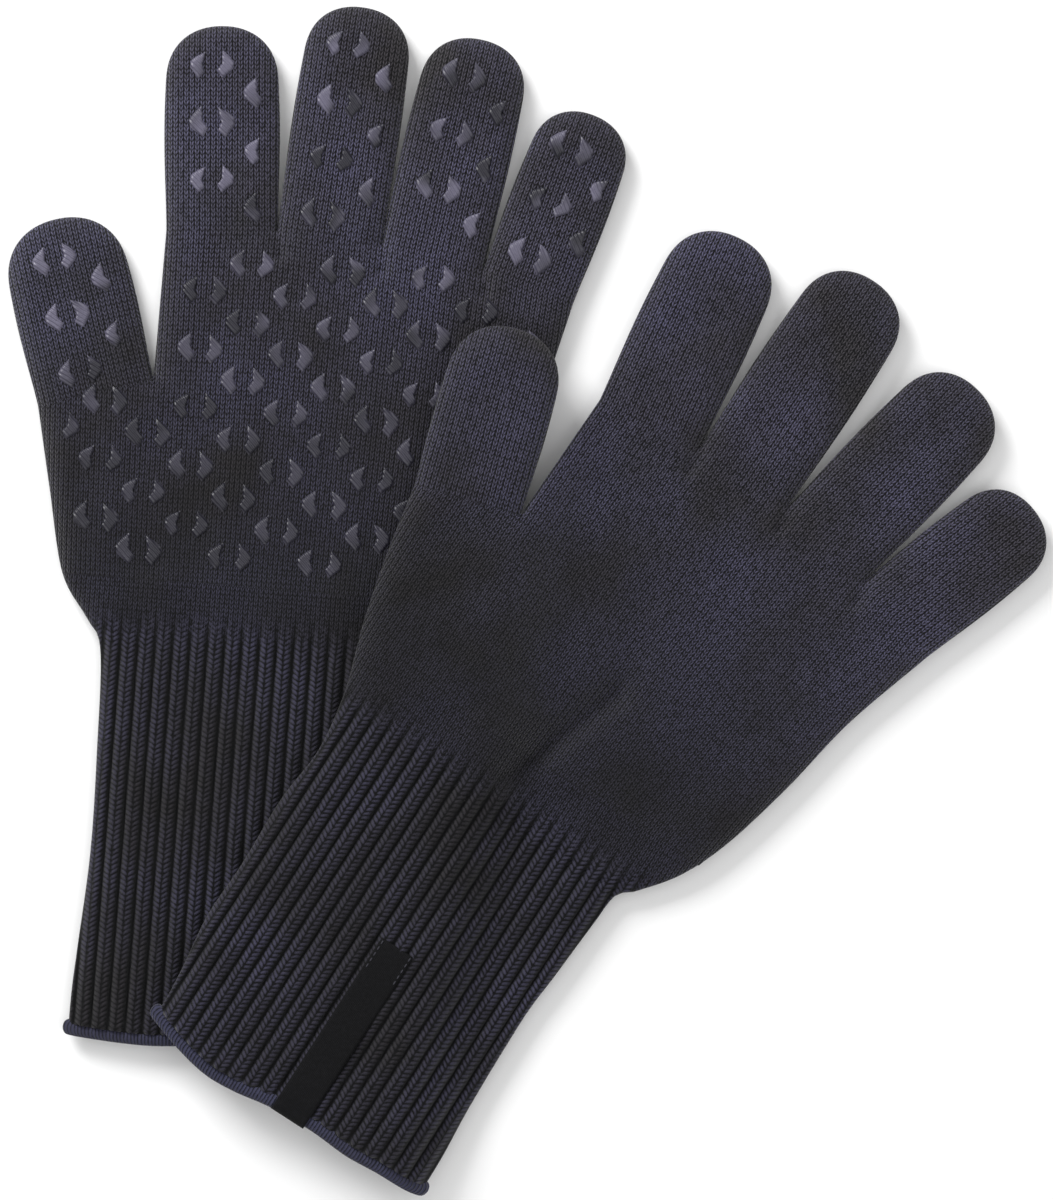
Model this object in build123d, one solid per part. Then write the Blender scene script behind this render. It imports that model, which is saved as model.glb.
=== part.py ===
from build123d import *
import os
from dataclasses import dataclass
from math import cos, radians, sin

# A pair of knitted heat resistant gloves laid flat, millimetres, +Z up, +Y towards the
# fingertips. The left-hand glove lies palm up on the surface z = 0; the right-hand glove
# lies back up across its edge and steps down beside it.

# Build of the fabric
THICK = 10.0            # a stuffed-flat hand or stall, outside to outside
KNIT = 1.4              # outer knit
LINING = 0.8            # soft inner layer
PLY_GAP = 0.1           # slack between the two layers
CUFF_SLIM = 1.0         # cuff thinner than the hand by this
CUFF_THICK = THICK - CUFF_SLIM
CUFF_WALL = 1.8
SEAM_GAP = 0.3          # between the hand and a stall that bends

# Stalls: width at the root, length beyond it
STALLS = {
    "thumb": (37.0, 57.6),
    "index": (36.0, 66.4),
    "middle": (34.3, 75.8),
    "ring": (34.2, 71.7),
    "little": (31.6, 59.7),
}
FINGERS = ("index", "middle", "ring", "little")
TIP_TAPER = 0.97        # width at the tip over width at the root
TIP_ROUND = 0.43        # corner radius over width
EDGE_ROUND = 3.5        # rolled side edges of a stall
STALL_TUCK = 8.0        # length a stall is drawn past its root before it is trimmed

# Hand outline from the wrist line, x towards the little finger, y towards the fingertips
WRIST_HALF = 54.5
HEEL = (77.0, 33.0)     # corner below the little finger
HEEL_ROUND = 34.0
BALL = (-67.0, 32.0)    # ball of the thumb
BALL_ROUND = 60.0

# Ribbed cuff and its rolled hem
HEM_HALF = 52.5
RIB_PITCH = 5.6
RIB_GROOVE = 1.4
RIB_DEPTH = 0.7
RIB_END = 2.0           # plain strip left at both ends of the cuff
HEM_LONG = 5.0
HEM_PROUD = 1.5         # hem past the cuff at each side
HEM_WALL = 2.3

# Silicone grips: a broken hexagon of two halves, set in staggered rows
PAD_RISE = 0.8
PAD_HALF = [(1.8, 4.9), (-2.4, 1.2), (-2.3, -1.2), (1.0, -4.7), (2.4, -2.0), (0.3, 0.6), (1.3, 2.6)]
PAD_SPREAD = 9.2        # between the two halves
PAD_ROW = 18.6
PALM_ROW = 19.0
PAD_COLUMN = 14.7
PAD_FROM_TIP = 13.0
PAD_OFF_AXIS = 3.0      # pair, towards the thumb side
SINGLE_OFF_AXIS = 10.0  # single half, towards the other side
PALM_FIRST_ROW = 27.5
PALM_MARGIN = 7.5

# Thread tacks at the crotches
TACK = (1.6, 5.0, 0.5)
TACK_INSET = 4.5

# Woven label on the back of the right cuff, folded over the hem
LABEL_WIDE = 12.0
LABEL_AT = 4.0          # off the cuff's centre line
LABEL_LONG = 66.0
LABEL_UNDER = 14.0
LABEL_THICK = 0.6
LABEL_CLEAR = 0.2
STITCH = (1.2, 0.5, 0.3)
STITCH_ROWS = 4


@dataclass
class Glove:
    """Where one glove lies and how its stalls are spread, degrees clockwise."""

    side: str
    wrist: tuple[float, float]
    tilt: float
    root: tuple[float, float]   # thumb-side end of the index finger's root
    web: tuple[float, float]    # thumb crotch
    spread: dict[str, float]
    cuff: float
    palm_up: bool


LEFT = Glove(
    side="left", wrist=(-85.68, -15.64), tilt=4.5, root=(-43.6, 131.6), web=(-44.0, 83.0),
    spread={"thumb": -17.5, "index": -5.2, "middle": 4.0, "ring": 8.6, "little": 16.4},
    cuff=126.0, palm_up=True)
RIGHT = Glove(
    side="right", wrist=(-16.38, -62.94), tilt=33.0, root=(-37.0, 127.0), web=(-38.0, 81.6),
    spread={"thumb": -16.8, "index": -7.6, "middle": 0.0, "ring": 11.0, "little": 18.5},
    cuff=115.0, palm_up=False)

# The step of the upper glove down the side of the lower one
STEP_FROM = (13.82, 92.86)
STEP_TO = (-37.28, -155.74)
STEP_START = 5.8
STEP_RUN = 5.5
STEP_BEND = 7.0
REACH = 400.0
STACK_GAP = 0.3
LOW = PAD_RISE                                   # underside of the upper glove on the surface
HIGH = THICK + PAD_RISE + STACK_GAP + PAD_RISE   # and over the lower glove


def heading(degrees):
    """Unit vector at this clockwise angle from +Y, and the one to its right."""
    a = radians(degrees)
    return Vector(sin(a), cos(a)), Vector(cos(a), -sin(a))


def to_world(glove, level=0.0):
    return Location((*glove.wrist, level), (0, 0, -glove.tilt))


def root_chain(glove):
    """Ends of the finger roots, thumb side first; each root is square to its finger."""
    points = [Vector(*glove.root)]
    for name in FINGERS:
        points.append(points[-1] + heading(glove.spread[name])[1] * STALLS[name][0])
    return points


def roots(glove):
    """Middle of each stall's root, in the glove's own frame."""
    chain = root_chain(glove)
    middles = {name: (chain[i] + chain[i + 1]) * 0.5 for i, name in enumerate(FINGERS)}
    across = heading(glove.spread["thumb"])[1]
    middles["thumb"] = Vector(*glove.web) - across * (STALLS["thumb"][0] / 2)
    return middles


def hinge(glove, name):
    """World point on the top edge of a stall's root, the fold axis and the stall's heading."""
    middle = roots(glove)[name]
    along, across = heading(glove.spread[name] + glove.tilt)
    foot = (to_world(glove) * Pos(middle.X, middle.Y)).position
    level = THICK if glove.palm_up or name != "thumb" else HIGH + THICK
    level += 0.0 if glove.palm_up or name == "thumb" else LOW
    foot = foot + along * (SEAM_GAP / 2)
    return Vector(foot.X, foot.Y, level), across, along


def floor_of(glove, name):
    """Height of a stall's underside."""
    if glove.palm_up:
        return 0.0
    return HIGH if name == "thumb" else LOW


# ---------------------------------------------------------------- section across the step
def mid_line(glove):
    """The glove's mid surface seen along the step, x across the step and y up."""
    if glove.palm_up:
        return Polyline((-REACH, THICK / 2), (REACH, THICK / 2))
    high, low = HIGH + THICK / 2, LOW + THICK / 2
    return FilletPolyline(
        (-REACH, high), (STEP_START, high), (STEP_START + STEP_RUN, low), (REACH, low),
        radius=STEP_BEND)


def step_plane():
    run = Vector(*STEP_TO) - Vector(*STEP_FROM)
    across = Vector(-run.Y, run.X).normalized()
    return Plane(origin=(*STEP_FROM, 0), x_dir=across, z_dir=(across.Y, -across.X, 0))


def layer(section):
    return extrude(step_plane() * section, amount=REACH, both=True)


def band(glove, thick):
    """All space within half the thickness of the glove's mid surface."""
    return layer(trace(mid_line(glove), thick))


def skin(glove, inner, outer, upper):
    """The layer between two thicknesses, on one side of the mid surface only."""
    line = mid_line(glove)
    far = 60.0 if upper else -60.0
    side = make_face(line.edges() + Polyline(line @ 1, (REACH, far), (-REACH, far), line @ 0).edges())
    return layer((trace(line, outer) - trace(line, inner)) & side)


def column(glove, face):
    """A tall prism on a face drawn in the glove's own frame."""
    return extrude(to_world(glove, -5) * face, amount=60)


# ---------------------------------------------------------------- hand and its layers
def hand_face(glove):
    chain = root_chain(glove)
    web = Vector(*glove.web)
    thumb_side = web - heading(glove.spread["thumb"])[1] * STALLS["thumb"][0]
    outline = [*chain, Vector(*HEEL), Vector(WRIST_HALF, 0), Vector(-WRIST_HALF, 0),
               Vector(*BALL), thumb_side, web]
    face = make_face(Polyline(*outline, close=True))
    for corner, radius in ((HEEL, HEEL_ROUND), (BALL, BALL_ROUND)):
        vertex = face.vertices().sort_by_distance((*corner, 0))[0]
        face = fillet(vertex, radius)
    return face


def passages(glove, inset):
    """Openings from the hand into each stall and into the cuff, at this depth of wall."""
    faces = []
    for name, middle in roots(glove).items():
        wide = STALLS[name][0] - SEAM_GAP - 2 * inset
        turn = Location((middle.X, middle.Y, 0), (0, 0, -glove.spread[name]))
        faces.append(turn * Pos(0, -6) * Rectangle(wide, 16))
    faces.append(Rectangle(2 * (WRIST_HALF - 0.4 - inset), 24))
    return faces


def hand_layer(glove, inset, wall):
    """One layer of the hand: a shell of this wall, this far inside the outline."""
    face = hand_face(glove)
    outside = face
    if inset:
        outside = offset(face, -inset, kind=Kind.INTERSECTION)
        for passage in passages(glove, inset):
            outside = outside + passage
        outside = outside & face
    inside = offset(face, -(inset + wall), kind=Kind.INTERSECTION)
    for passage in passages(glove, inset + wall):
        inside = inside + passage
    thick = THICK - 2 * inset
    solid = column(glove, outside) & band(glove, thick)
    return solid - (column(glove, inside) & band(glove, thick - 2 * wall))


# ---------------------------------------------------------------- stalls
def stall_block(wide, long, thick, rounding, tuck):
    """A closed stall along +Y with rolled edges, its root at y = 0, resting on z = 0."""
    tip = wide * TIP_TAPER
    face = make_face(Polyline(
        (-wide / 2, -tuck), (wide / 2, -tuck), (tip / 2, long), (-tip / 2, long), close=True))
    face = fillet(face.vertices().group_by(Axis.Y)[-1], wide * TIP_ROUND)
    block = extrude(face, amount=thick)
    rims = [e for e in block.edges() if e.center().Z < 0.01 or e.center().Z > thick - 0.01]
    rims = [e for e in rims if e.center().Y > -tuck + 0.01]
    return fillet(rims, min(rounding, 0.45 * thick))


def stall_layer(name, inset, wall):
    """One layer of a stall, open at its root."""
    wide, long = STALLS[name]
    wide -= SEAM_GAP * 2
    outer = stall_block(wide - 2 * inset, long - inset, THICK - 2 * inset,
                        EDGE_ROUND - inset / 2, STALL_TUCK)
    deep = inset + wall
    inner = stall_block(wide - 2 * deep, long - deep, THICK - 2 * deep,
                        EDGE_ROUND - deep / 2, STALL_TUCK + 4)
    shell = Pos(0, 0, inset) * outer - Pos(0, 0, deep) * inner
    keep = Pos(0, 100 + SEAM_GAP, 0) * Box(200, 200, 100)
    return shell & keep


def stall_place(glove, name):
    middle = roots(glove)[name]
    turn = Location((middle.X, middle.Y, 0), (0, 0, -glove.spread[name]))
    return to_world(glove, floor_of(glove, name)) * turn


# ---------------------------------------------------------------- grips
def pad_half(x, y, flip):
    points = [((-px if flip else px) + x, py + y) for px, py in PAD_HALF]
    return make_face(Polyline(*points, close=True))


def pad_pair(x, y):
    return [pad_half(x - PAD_SPREAD / 2, y, False), pad_half(x + PAD_SPREAD / 2, y, True)]


def stall_grips(glove, name):
    long = STALLS[name][1]
    pads = []
    y = long - PAD_FROM_TIP
    while y > 6.0:
        pads += pad_pair(-PAD_OFF_AXIS, y)
        if y - PAD_ROW / 2 > 6.0:
            pads.append(pad_half(SINGLE_OFF_AXIS, y - PAD_ROW / 2, False))
        y -= PAD_ROW
    base = THICK if glove.palm_up else -PAD_RISE
    return [stall_place(glove, name) * Pos(0, 0, base) * extrude(pad, amount=PAD_RISE) for pad in pads]


def palm_grips(glove):
    field = offset(hand_face(glove), -PALM_MARGIN, kind=Kind.INTERSECTION)
    motifs = []
    for i in range(-5, 7):
        for j in range(8):
            x = i * PAD_COLUMN
            y = PALM_FIRST_ROW + (j + ((i + 1) % 2) / 2) * PALM_ROW
            for half in pad_pair(x, y):
                if field.is_inside(half.center()):
                    motifs.append(half)
    cover = skin(glove, THICK, THICK + 2 * PAD_RISE, upper=glove.palm_up)
    pads = []
    for motif in motifs:
        piece = column(glove, motif) & cover
        pads += piece.solids()
    return pads


def tacks(glove):
    chain = root_chain(glove)
    spots = [(chain[i], (glove.spread[FINGERS[i - 1]] + glove.spread[FINGERS[i]]) / 2)
             for i in range(1, 4)]
    spots.append((Vector(*glove.web), glove.spread["thumb"] / 2))
    cover = skin(glove, THICK, THICK + 2 * TACK[2], upper=True)
    pieces = []
    for point, turn in spots:
        place = Location((point.X, point.Y, 0), (0, 0, -turn)) * Pos(0, -TACK_INSET)
        pieces += (column(glove, place * SlotOverall(TACK[1], TACK[0], rotation=90)) & cover).solids()
    return pieces


# ---------------------------------------------------------------- cuff, hem and label
def cuff_face(glove, inset, spare=0.0):
    top, foot = WRIST_HALF - inset, HEM_HALF - inset
    return make_face(Polyline(
        (-top, spare), (top, spare), (foot, -glove.cuff - spare), (-foot, -glove.cuff - spare),
        close=True))


def cuff(glove):
    tube = column(glove, cuff_face(glove, 0.6)) & band(glove, CUFF_THICK)
    tube -= column(glove, cuff_face(glove, 0.6 + CUFF_WALL, 4)) & band(glove, CUFF_THICK - 2 * CUFF_WALL)
    line = mid_line(glove)
    shallow = layer(trace(line, CUFF_THICK + 1) - trace(line, CUFF_THICK - 2 * RIB_DEPTH))
    count = int(HEM_HALF / RIB_PITCH)
    grooves = [Pos(i * RIB_PITCH, -glove.cuff / 2) * Rectangle(RIB_GROOVE, glove.cuff - 2 * RIB_END)
               for i in range(-count, count + 1)]
    for groove in grooves:
        tube -= column(glove, groove) & shallow
    return tube


def hem(glove):
    middle = -glove.cuff - HEM_LONG / 2
    outer = Pos(0, middle) * Rectangle(2 * (HEM_HALF + HEM_PROUD), HEM_LONG)
    outer = fillet(outer.vertices(), 1.8)
    inner = Pos(0, middle) * Rectangle(2 * (HEM_HALF + HEM_PROUD - HEM_WALL), HEM_LONG + 4)
    ring = column(glove, outer) & band(glove, THICK)
    return ring - (column(glove, inner) & band(glove, THICK - 2 * HEM_WALL))


def label(glove):
    """Strip lying on the cuff's back, round the hem and up inside its underside."""
    middle = HIGH + THICK / 2
    reach = THICK / 2 + LABEL_CLEAR + LABEL_THICK / 2
    end = -glove.cuff - HEM_LONG - LABEL_CLEAR - LABEL_THICK / 2
    bore = min(THICK / 2 - HEM_WALL, CUFF_THICK / 2 - CUFF_WALL)
    inside = bore - LABEL_CLEAR - LABEL_THICK / 2
    path = FilletPolyline(
        (end + LABEL_LONG, middle + reach), (end, middle + reach), (end, middle + inside),
        (end + LABEL_UNDER, middle + inside), radius=0.8)
    side = Plane(origin=(0, 0, 0), x_dir=(0, 1, 0), z_dir=(1, 0, 0))
    strip = extrude(side * trace(path, LABEL_THICK), amount=LABEL_WIDE / 2, both=True)
    return to_world(glove) * Pos(LABEL_AT, 0, 0) * strip


def label_stitches(glove):
    """Two short rows of stitches near the label's free end."""
    top = HIGH + THICK + LABEL_CLEAR + LABEL_THICK
    first = -glove.cuff - HEM_LONG + LABEL_LONG - 5.0
    pieces = []
    for side in (-1, 1):
        for i in range(STITCH_ROWS):
            at = Pos(LABEL_AT + side * (LABEL_WIDE / 2 - 1.2), first - i * 2.4, top + STITCH[2] / 2)
            pieces.append(to_world(glove) * at * Box(STITCH[1], STITCH[0], STITCH[2]))
    return pieces


def write(name, shape):
    solids = shape if isinstance(shape, list) else shape.solids()
    body = solids[0] if len(solids) == 1 else Compound(children=list(solids))
    export_step(body, f"parts/{name}.step")


def build():
    os.makedirs("parts", exist_ok=True)
    for glove in (LEFT, RIGHT):
        side = glove.side
        write(f"{side}_hand_shell", hand_layer(glove, 0, KNIT))
        write(f"{side}_hand_lining", hand_layer(glove, KNIT + PLY_GAP, LINING))
        write(f"{side}_palm_grips", palm_grips(glove))
        write(f"{side}_crotch_tacks", tacks(glove))
        write(f"{side}_cuff", cuff(glove))
        write(f"{side}_hem_band", hem(glove))
        for name in STALLS:
            place = stall_place(glove, name)
            write(f"{side}_{name}_stall", place * stall_layer(name, 0, KNIT))
            write(f"{side}_{name}_lining", place * stall_layer(name, KNIT + PLY_GAP, LINING))
            write(f"{side}_{name}_grips", stall_grips(glove, name))
    write("right_cuff_label", label(RIGHT))
    write("right_label_stitches", label_stitches(RIGHT))


if __name__ == "__main__":
    build()
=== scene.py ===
"""A pair of knitted heat resistant gloves lying flat, one across the other, in a soft white studio."""

import logging
import math
from collections.abc import Callable, Sequence
from dataclasses import dataclass, field
from enum import Enum

import bmesh
import bpy
import numpy as np
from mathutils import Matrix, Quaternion, Vector


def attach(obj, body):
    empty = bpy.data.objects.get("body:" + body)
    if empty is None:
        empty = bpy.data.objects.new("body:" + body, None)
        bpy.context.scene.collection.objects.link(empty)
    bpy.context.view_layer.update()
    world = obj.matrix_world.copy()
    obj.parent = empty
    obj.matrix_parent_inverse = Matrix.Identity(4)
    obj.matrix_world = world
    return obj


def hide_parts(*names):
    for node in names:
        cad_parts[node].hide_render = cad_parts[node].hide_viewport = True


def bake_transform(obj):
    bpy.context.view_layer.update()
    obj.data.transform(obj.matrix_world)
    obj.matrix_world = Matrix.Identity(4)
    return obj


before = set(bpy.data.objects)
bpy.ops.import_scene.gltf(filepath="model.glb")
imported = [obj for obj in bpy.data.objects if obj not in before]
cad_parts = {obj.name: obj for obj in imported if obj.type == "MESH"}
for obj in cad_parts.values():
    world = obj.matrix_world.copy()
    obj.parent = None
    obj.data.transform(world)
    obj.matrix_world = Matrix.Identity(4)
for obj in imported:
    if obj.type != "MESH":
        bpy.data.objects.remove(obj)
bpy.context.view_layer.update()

MM = 0.001
log = logging.getLogger("gloves")

# Shared dimensions, millimetres
THICK = 10.0
CUFF_THICK = 8.6
EDGE_ROLL = 11.0
ROOT_LAP = 2.0
HAND_FOOT = 18.0
STEP_FROM = np.array((13.82, 92.86))
STEP_TO = np.array((-37.28, -155.74))
STEP_SPAN = (-5.0, 20.0)
LOW_MID = 5.8
HIGH_MID = 17.0
FOLD_REACH = 15.0
THUMB_SHARE = (0.50, 0.60)

# Stitch coordinates, millimetres along a piece: the finger roots, where the ribs and the painted
# shade in their valleys grow out of the jersey, where the darker low end fades out towards the
# fingers (partly painted shade, partly the fabric's own darker tone), and where the painted
# highlight on the grips grows in
ROOT_ROW = 130.0
RIBS_GROW = (10.0, -2.0)
VALLEY_SHADE_GROWS = (10.0, -4.0)
HAND_SHADE_FADES = (30.0, 150.0)
GRIPS_GLINT_GROWS = (60.0, 150.0)

Place = Callable[[np.ndarray, np.ndarray], tuple[np.ndarray, np.ndarray]]


# ---------------------------------------------------------------- small helpers
def srgb(code: str) -> tuple[float, float, float, float]:
    """Turn an sRGB hex code into linear colour.

    Args:
        code: Six hex digits, with or without a leading hash.

    Returns:
        Linear red, green, blue and an alpha of one.
    """
    parts = [int(code.lstrip("#")[i:i + 2], 16) / 255 for i in (0, 2, 4)]
    lin = [c / 12.92 if c <= 0.04045 else ((c + 0.055) / 1.055) ** 2.4 for c in parts]
    return (lin[0], lin[1], lin[2], 1.0)


def smooth(t: np.ndarray | float) -> np.ndarray:
    """Smoothstep of t clamped to 0..1.

    Args:
        t: Any values.

    Returns:
        The eased values.
    """
    c = np.clip(t, 0.0, 1.0)
    return c * c * (3 - 2 * c)


def curve_through(points: Sequence[Sequence[float]], steps: int = 12) -> np.ndarray:
    """Sample a Catmull-Rom curve through points.

    Args:
        points: Control points, all on the curve.
        steps: Samples per span.

    Returns:
        Array of samples, ends included.
    """
    p = np.asarray(points, float)
    p = np.vstack([2 * p[0] - p[1], p, 2 * p[-1] - p[-2]])
    t = np.linspace(0, 1, steps, endpoint=False)[:, None]
    spans = []
    for a, b, c, d in zip(p[:-3], p[1:-2], p[2:-1], p[3:]):
        spans.append(0.5 * (2 * b + (c - a) * t + (2 * a - 5 * b + 4 * c - d) * t**2
                            + (3 * b - a - 3 * c + d) * t**3))
    return np.vstack([*spans, p[-2]])


def walk(line: np.ndarray, share: np.ndarray) -> np.ndarray:
    """Points at shares of a polyline's length.

    Args:
        line: Polyline, one point per row.
        share: Values from 0 to 1.

    Returns:
        One point per share.
    """
    run = np.r_[0, np.cumsum(np.linalg.norm(np.diff(line, axis=0), axis=1))]
    at = np.asarray(share) * run[-1]
    return np.stack([np.interp(at, run, line[:, i]) for i in range(line.shape[1])], axis=-1)


def distance_to(line: np.ndarray, xy: np.ndarray) -> np.ndarray:
    """Shortest distance from each point to a polyline.

    Args:
        line: Polyline in the plane.
        xy: Points in the plane.

    Returns:
        One distance per point.
    """
    best = np.full(len(xy), 1e9)
    for a, b in zip(line[:-1], line[1:]):
        run = b - a
        share = np.clip(((xy - a) @ run) / max(run @ run, 1e-9), 0, 1)
        best = np.minimum(best, np.linalg.norm(xy - a - share[:, None] * run, axis=1))
    return best


def unit(degrees: float) -> tuple[np.ndarray, np.ndarray]:
    """Heading at a clockwise angle from +Y, and the direction to its right.

    Args:
        degrees: Clockwise angle.

    Returns:
        The heading and its right-hand direction.
    """
    a = math.radians(degrees)
    return np.array((math.sin(a), math.cos(a))), np.array((math.cos(a), -math.sin(a)))


# ---------------------------------------------------------------- materials
def node(tree: bpy.types.NodeTree, kind: str, **inputs: object) -> bpy.types.Node:
    """Add one shader node.

    Args:
        tree: Node tree to add to.
        kind: Node type name.
        inputs: Socket values or sockets by name; underscores stand for spaces, and names
            that start with ``n`` and a digit mean sockets by number. ``set_x`` sets attribute x.

    Returns:
        The new node.
    """
    made = tree.nodes.new(kind)
    for key, value in inputs.items():
        if key.startswith("set_"):
            setattr(made, key[4:], value)
            continue
        socket = made.inputs[int(key[1:])] if key[0] == "n" and key[1:].isdigit() else \
            made.inputs[key.replace("_", " ")]
        if isinstance(value, bpy.types.NodeSocket):
            tree.links.new(value, socket)
        else:
            socket.default_value = value
    return made


def sums(tree: bpy.types.NodeTree, operation: str, a: object, b: object = 0.0) -> bpy.types.NodeSocket:
    """Add one math node.

    Args:
        tree: Node tree to add to.
        operation: Math operation.
        a: First value or socket.
        b: Second value or socket.

    Returns:
        The result socket.
    """
    return node(tree, "ShaderNodeMath", set_operation=operation, n0=a, n1=b).outputs[0]


def blank(name: str) -> tuple[bpy.types.Material, bpy.types.NodeTree, bpy.types.Node]:
    """Start a node material.

    Args:
        name: Material name.

    Returns:
        The material, its node tree and its surface shader.
    """
    material = bpy.data.materials.new(name)
    material.use_nodes = True
    return material, material.node_tree, material.node_tree.nodes["Principled BSDF"]


class Weave(Enum):
    """How the fabric's surface is made."""

    JERSEY = "jersey"
    RIB = "rib"
    OVERLOCK = "overlock"
    TAPE = "tape"


@dataclass(frozen=True)
class Knit:
    """A yarn fabric whose stitches follow the piece's own UV map, in millimetres."""

    name: str
    crest: str
    # Colour in the gaps between the loops: painted shade, the dark that falls between the yarn
    gap_shade: str
    # Darker neutral colour mixed into the yarn in large random patches
    patch_colour: str
    weave: Weave
    wale: float = 1.75
    course: float = 1.45
    relief: float = 0.35
    sheen: float = 0.12
    slant: float = -0.95

    def make(self) -> bpy.types.Material:
        """Build the material.

        Returns:
            The new material.
        """
        material, tree, shader = blank(self.name)
        uv = node(tree, "ShaderNodeUVMap", set_uv_map="mm")
        split = node(tree, "ShaderNodeSeparateXYZ", n0=uv.outputs[0])
        u, v = split.outputs[0], split.outputs[1]
        wobble = node(tree, "ShaderNodeTexNoise", Vector=uv.outputs[0], Scale=0.55, Detail=2.0)
        u = sums(tree, "ADD", u, sums(tree, "MULTIPLY", wobble.outputs[0], 0.5))
        height = self._stitch(tree, u, v, self.wale, self.course, self.slant)
        if self.weave is Weave.RIB:
            plain = self._stitch(tree, u, v, 1.56, 1.45, -0.95)
            begin = node(tree, "ShaderNodeMapRange", Value=v, n1=RIBS_GROW[0], n2=RIBS_GROW[1])
            height = node(tree, "ShaderNodeMix", n0=begin.outputs[0], n2=plain, n3=height).outputs[0]
        coords = node(tree, "ShaderNodeTexCoord").outputs["Object"]
        fibre = node(tree, "ShaderNodeTexNoise", Vector=coords, Scale=2600.0, Detail=3.0).outputs[0]
        patch = node(tree, "ShaderNodeTexNoise", Vector=coords, Scale=26.0, Detail=3.0).outputs[0]
        loops = node(tree, "ShaderNodeTexNoise", Vector=coords, Scale=800.0, Detail=1.0).outputs[0]
        tone = sums(tree, "ADD", sums(tree, "MULTIPLY", height, 1.15),
                    sums(tree, "MULTIPLY", sums(tree, "SUBTRACT", fibre, 0.6), 0.6))
        tone = sums(tree, "ADD", tone, sums(tree, "MULTIPLY", sums(tree, "SUBTRACT", loops, 0.52), 0.9))
        tone = node(tree, "ShaderNodeMapRange", Value=tone, n1=0.14, n2=0.86).outputs[0]
        # Large random patches of noise mix the yarn's colour towards the darker neutral one
        patchy = node(tree, "ShaderNodeMix", set_data_type="RGBA", Factor=sums(
            tree, "ADD", sums(tree, "MULTIPLY", sums(tree, "SUBTRACT", patch, 0.5), 3.0), 0.5))
        patchy.inputs[6].default_value = srgb(self.patch_colour)
        patchy.inputs[7].default_value = srgb(self.crest)
        # The tone runs from the gap colour, painted shade between the loops, up to the yarn's colour
        ramp = node(tree, "ShaderNodeMix", set_data_type="RGBA", Factor=tone)
        ramp.inputs[6].default_value = srgb(self.gap_shade)
        tree.links.new(patchy.outputs[2], ramp.inputs[7])
        # Painted shade laid over the colour; on the hand and cuff it is partly the fabric's darker tone
        if self.weave in (Weave.JERSEY, Weave.RIB):
            ramp = self._shade(tree, ramp, split)
        if self.weave is Weave.JERSEY:
            inside = node(tree, "ShaderNodeNewGeometry").outputs["Backfacing"]
            lined = node(tree, "ShaderNodeMix", set_data_type="RGBA", Factor=inside)
            lined.inputs[7].default_value = srgb("#2b2b31")
            tree.links.new(ramp.outputs[2], lined.inputs[6])
            ramp = lined
        tree.links.new(ramp.outputs[2], shader.inputs["Base Color"])
        bump = node(tree, "ShaderNodeBump", Strength=1.0, Distance=self.relief * MM, Height=sums(
            tree, "ADD", height, sums(tree, "MULTIPLY", fibre, 0.25)))
        tree.links.new(bump.outputs[0], shader.inputs["Normal"])
        shader.inputs["Roughness"].default_value = 0.92
        shader.inputs["Specular IOR Level"].default_value = 0.18
        shader.inputs["Sheen Weight"].default_value = self.sheen
        shader.inputs["Sheen Roughness"].default_value = 0.5
        return material

    def _shade(self, tree: bpy.types.NodeTree, colour: bpy.types.Node,
               split: bpy.types.Node) -> bpy.types.Node:
        """Paint shade into the valleys between ribs and over the cuff, or over the hand below the fingers,
        where it also stands for the fabric's darker low end.

        Args:
            tree: Node tree to add to.
            colour: Node with the fabric's colour.
            split: Node with the stitch coordinates.

        Returns:
            The shaded colour's node.
        """
        u, v = split.outputs[0], split.outputs[1]
        if self.weave is Weave.RIB:
            # Painted shade: the valleys between the ribs are mixed towards near black
            off = sums(tree, "MULTIPLY", sums(tree, "ABSOLUTE", sums(tree, "SUBTRACT", sums(
                tree, "FRACT", sums(tree, "ADD", sums(tree, "DIVIDE", u, self.wale), 0.5)), 0.5)), 2.0)
            begin = node(tree, "ShaderNodeMapRange", Value=v, n1=VALLEY_SHADE_GROWS[0],
                         n2=VALLEY_SHADE_GROWS[1], n4=0.96)
            # Partly painted shade and partly the fabric's own darker tone: the whole cuff darkened to
            # match the hand at the wrist
            low = node(tree, "ShaderNodeMapRange", Value=v, n1=-30.0, n2=HAND_FOOT, n3=0.62, n4=0.66)
            gap_shade = sums(tree, "MULTIPLY", sums(tree, "POWER", off, 2.2), begin.outputs[0])
            dark = sums(tree, "MAXIMUM", gap_shade, low.outputs[0])
        else:
            # Partly painted shade and partly the fabric's own darker tone: the hand darkens from the
            # finger roots down to the wrist
            dark = node(tree, "ShaderNodeMapRange", Value=v, n1=HAND_SHADE_FADES[0], n2=HAND_SHADE_FADES[1],
                        n3=0.66, n4=0.0).outputs[0]
        # Near black: the colour of the painted shade
        mixed = node(tree, "ShaderNodeMix", set_data_type="RGBA", Factor=dark)
        tree.links.new(colour.outputs[2], mixed.inputs[6])
        mixed.inputs[7].default_value = srgb("#020203")
        return mixed

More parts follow.
